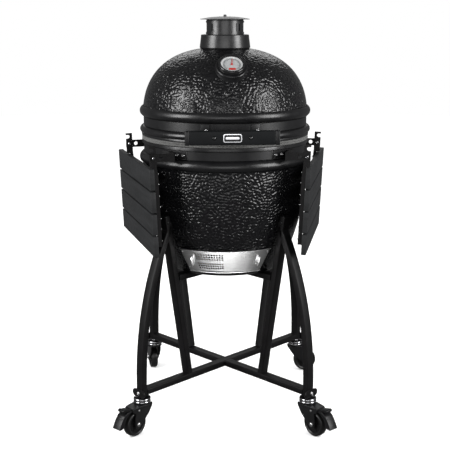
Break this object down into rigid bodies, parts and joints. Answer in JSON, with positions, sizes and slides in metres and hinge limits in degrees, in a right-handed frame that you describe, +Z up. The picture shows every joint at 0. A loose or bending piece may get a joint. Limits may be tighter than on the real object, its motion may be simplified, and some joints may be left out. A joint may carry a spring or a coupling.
{
  "type": "kamado ceramic grill",
  "caption": "Egg-shaped ceramic charcoal grill with a hinged domed lid, chimney vent and draft door, on a wheeled tube stand with folding slatted side tables",
  "frame": {"origin": "on the floor under the pot's axis, which is within a few millimetres of the middle of the whole grill", "axes": "+Z up along the pot's axis, -Y towards the front with the handle and the draft door, +X to the viewer's right"},
  "size_m": [0.6925, 0.6901, 1.2635],
  "materials": {
    "black_glaze": "gloss",
    "black_steel": "satin",
    "fire_clay": "matte",
    "cast_iron": "matte",
    "stainless": "satin",
    "gasket_fibre": "matte",
    "caster_steel": "satin",
    "tyre_black": "matte",
    "pedal_plastic": "matte",
    "chrome": "gloss",
    "dial_paint": "matte",
    "gauge_glass": "gloss",
    "needle_red": "satin",
    "handle_composite": "matte",
    "vent_metal": "satin",
    "spring_steel": "satin",
    "slat_composite": "matte"
  },
  "bodies": {
    "stand_and_base": {"lower_cross": "black_steel", "pot_cradle": "black_steel", "front_left_leg": "black_steel", "front_right_leg": "black_steel", "rear_left_leg": "black_steel", "rear_right_leg": "black_steel", "base_shell": "black_glaze", "fire_box": "fire_clay", "fire_ring": "fire_clay", "charcoal_grate": "cast_iron", "base_band": "black_steel", "base_gasket": "gasket_fibre", "draft_frame": "stainless", "hinge_base_bracket": "black_steel", "hinge_pin": "chrome", "hinge_spring_left": "spring_steel", "hinge_spring_right": "spring_steel", "left_front_table_bracket": "black_steel", "left_rear_table_bracket": "black_steel", "right_front_table_bracket": "black_steel", "right_rear_table_bracket": "black_steel"},
    "lid": {"lid_shell": "black_glaze", "lid_band": "black_steel", "lid_gasket": "gasket_fibre", "hinge_lid_bracket": "black_steel", "handle_bar": "handle_composite", "handle_bracket_left": "black_steel", "handle_bracket_right": "black_steel", "vent_collar": "vent_metal", "vent_sleeve": "vent_metal", "gauge_case": "chrome", "gauge_dial": "dial_paint", "gauge_lens": "gauge_glass"},
    "rain_cap": {"rain_cap": "vent_metal"},
    "gauge_needle": {"gauge_needle": "needle_red"},
    "cooking_grate": {"cooking_grate": "stainless"},
    "mesh_door": {"draft_mesh_door": "stainless"},
    "solid_door": {"draft_solid_door": "stainless"},
    "left_table": {"left_table_slat_1": "slat_composite", "left_table_slat_2": "slat_composite", "left_table_slat_3": "slat_composite", "left_table_slat_4": "slat_composite", "left_front_swing_arm": "black_steel", "left_rear_swing_arm": "black_steel"},
    "right_table": {"right_table_slat_1": "slat_composite", "right_table_slat_2": "slat_composite", "right_table_slat_3": "slat_composite", "right_table_slat_4": "slat_composite", "right_front_swing_arm": "black_steel", "right_rear_swing_arm": "black_steel"},
    "front_left_caster": {"front_left_fork": "caster_steel"},
    "front_left_wheel": {"front_left_wheel": "tyre_black"},
    "front_left_brake": {"front_left_brake_pedal": "pedal_plastic"},
    "front_right_caster": {"front_right_fork": "caster_steel"},
    "front_right_wheel": {"front_right_wheel": "tyre_black"},
    "front_right_brake": {"front_right_brake_pedal": "pedal_plastic"},
    "rear_left_caster": {"rear_left_fork": "caster_steel"},
    "rear_left_wheel": {"rear_left_wheel": "tyre_black"},
    "rear_right_caster": {"rear_right_fork": "caster_steel"},
    "rear_right_wheel": {"rear_right_wheel": "tyre_black"}
  },
  "joints": [
    {"name": "lid_hinge", "type": "hinge", "parent": "stand_and_base", "child": "lid", "pos_m": [-0.02028, 0.32236, 0.88], "axis": [-0.998, -0.0628, 0], "range_deg": [0, 75]},
    {"name": "rain_cap_turn", "type": "hinge", "parent": "lid", "child": "rain_cap", "pos_m": [0, 0, 1.2485], "axis": [0, 0, 1], "range_deg": [-90, 0]},
    {"name": "gauge_needle_turn", "type": "hinge", "parent": "lid", "child": "gauge_needle", "pos_m": [0.01976, -0.20149, 1.12354], "axis": [0.0627, -0.6397, 0.766], "range_deg": [-120, 120], "stiffness_Nm_per_rad": 0.01},
    {"name": "cooking_grate_lift", "type": "slide", "parent": "stand_and_base", "child": "cooking_grate", "axis": [0, 0, 1], "range_m": [0, 0.024]},
    {"name": "mesh_door_slide", "type": "hinge", "parent": "stand_and_base", "child": "mesh_door", "pos_m": [0, 0, 0.5325], "axis": [0, 0, 1], "range_deg": [0, 24]},
    {"name": "solid_door_slide", "type": "hinge", "parent": "stand_and_base", "child": "solid_door", "pos_m": [0, 0, 0.5325], "axis": [0, 0, 1], "range_deg": [-24, 0]},
    {"name": "left_table_hinge", "type": "hinge", "parent": "stand_and_base", "child": "left_table", "pos_m": [-0.20919, -0.26349, 0.85869], "axis": [-0.309, 0.9511, 0], "range_deg": [0, 90]},
    {"name": "right_table_hinge", "type": "hinge", "parent": "stand_and_base", "child": "right_table", "pos_m": [0.24057, -0.23519, 0.85869], "axis": [-0.1874, -0.9823, 0], "range_deg": [0, 90]},
    {"name": "front_left_swivel", "type": "hinge", "parent": "stand_and_base", "child": "front_left_caster", "pos_m": [-0.2555, -0.2555, 0.11], "axis": [0, 0, 1], "continuous": true},
    {"name": "front_left_wheel_spin", "type": "hinge", "parent": "front_left_caster", "child": "front_left_wheel", "pos_m": [-0.27736, -0.28155, 0.04], "axis": [0.766, -0.6428, 0], "continuous": true},
    {"name": "front_left_brake_pedal_tip", "type": "hinge", "parent": "front_left_caster", "child": "front_left_brake", "pos_m": [-0.29407, -0.30146, 0.0915], "axis": [0.766, -0.6428, 0], "range_deg": [-9, 0]},
    {"name": "front_right_swivel", "type": "hinge", "parent": "stand_and_base", "child": "front_right_caster", "pos_m": [0.2555, -0.2555, 0.11], "axis": [0, 0, 1], "continuous": true},
    {"name": "front_right_wheel_spin", "type": "hinge", "parent": "front_right_caster", "child": "front_right_wheel", "pos_m": [0.27736, -0.28155, 0.04], "axis": [0.766, 0.6428, 0], "continuous": true},
    {"name": "front_right_brake_pedal_tip", "type": "hinge", "parent": "front_right_caster", "child": "front_right_brake", "pos_m": [0.29407, -0.30146, 0.0915], "axis": [0.766, 0.6428, 0], "range_deg": [-9, 0]},
    {"name": "rear_left_swivel", "type": "hinge", "parent": "stand_and_base", "child": "rear_left_caster", "pos_m": [-0.2555, 0.2555, 0.11], "axis": [0, 0, 1], "continuous": true},
    {"name": "rear_left_wheel_spin", "type": "hinge", "parent": "rear_left_caster", "child": "rear_left_wheel", "pos_m": [-0.2643, 0.28834, 0.04], "axis": [-0.9659, -0.2588, 0], "continuous": true},
    {"name": "rear_right_swivel", "type": "hinge", "parent": "stand_and_base", "child": "rear_right_caster", "pos_m": [0.2555, 0.2555, 0.11], "axis": [0, 0, 1], "continuous": true},
    {"name": "rear_right_wheel_spin", "type": "hinge", "parent": "rear_right_caster", "child": "rear_right_wheel", "pos_m": [0.28898, 0.2614, 0.04], "axis": [-0.1736, 0.9848, 0], "continuous": true}
  ]
}
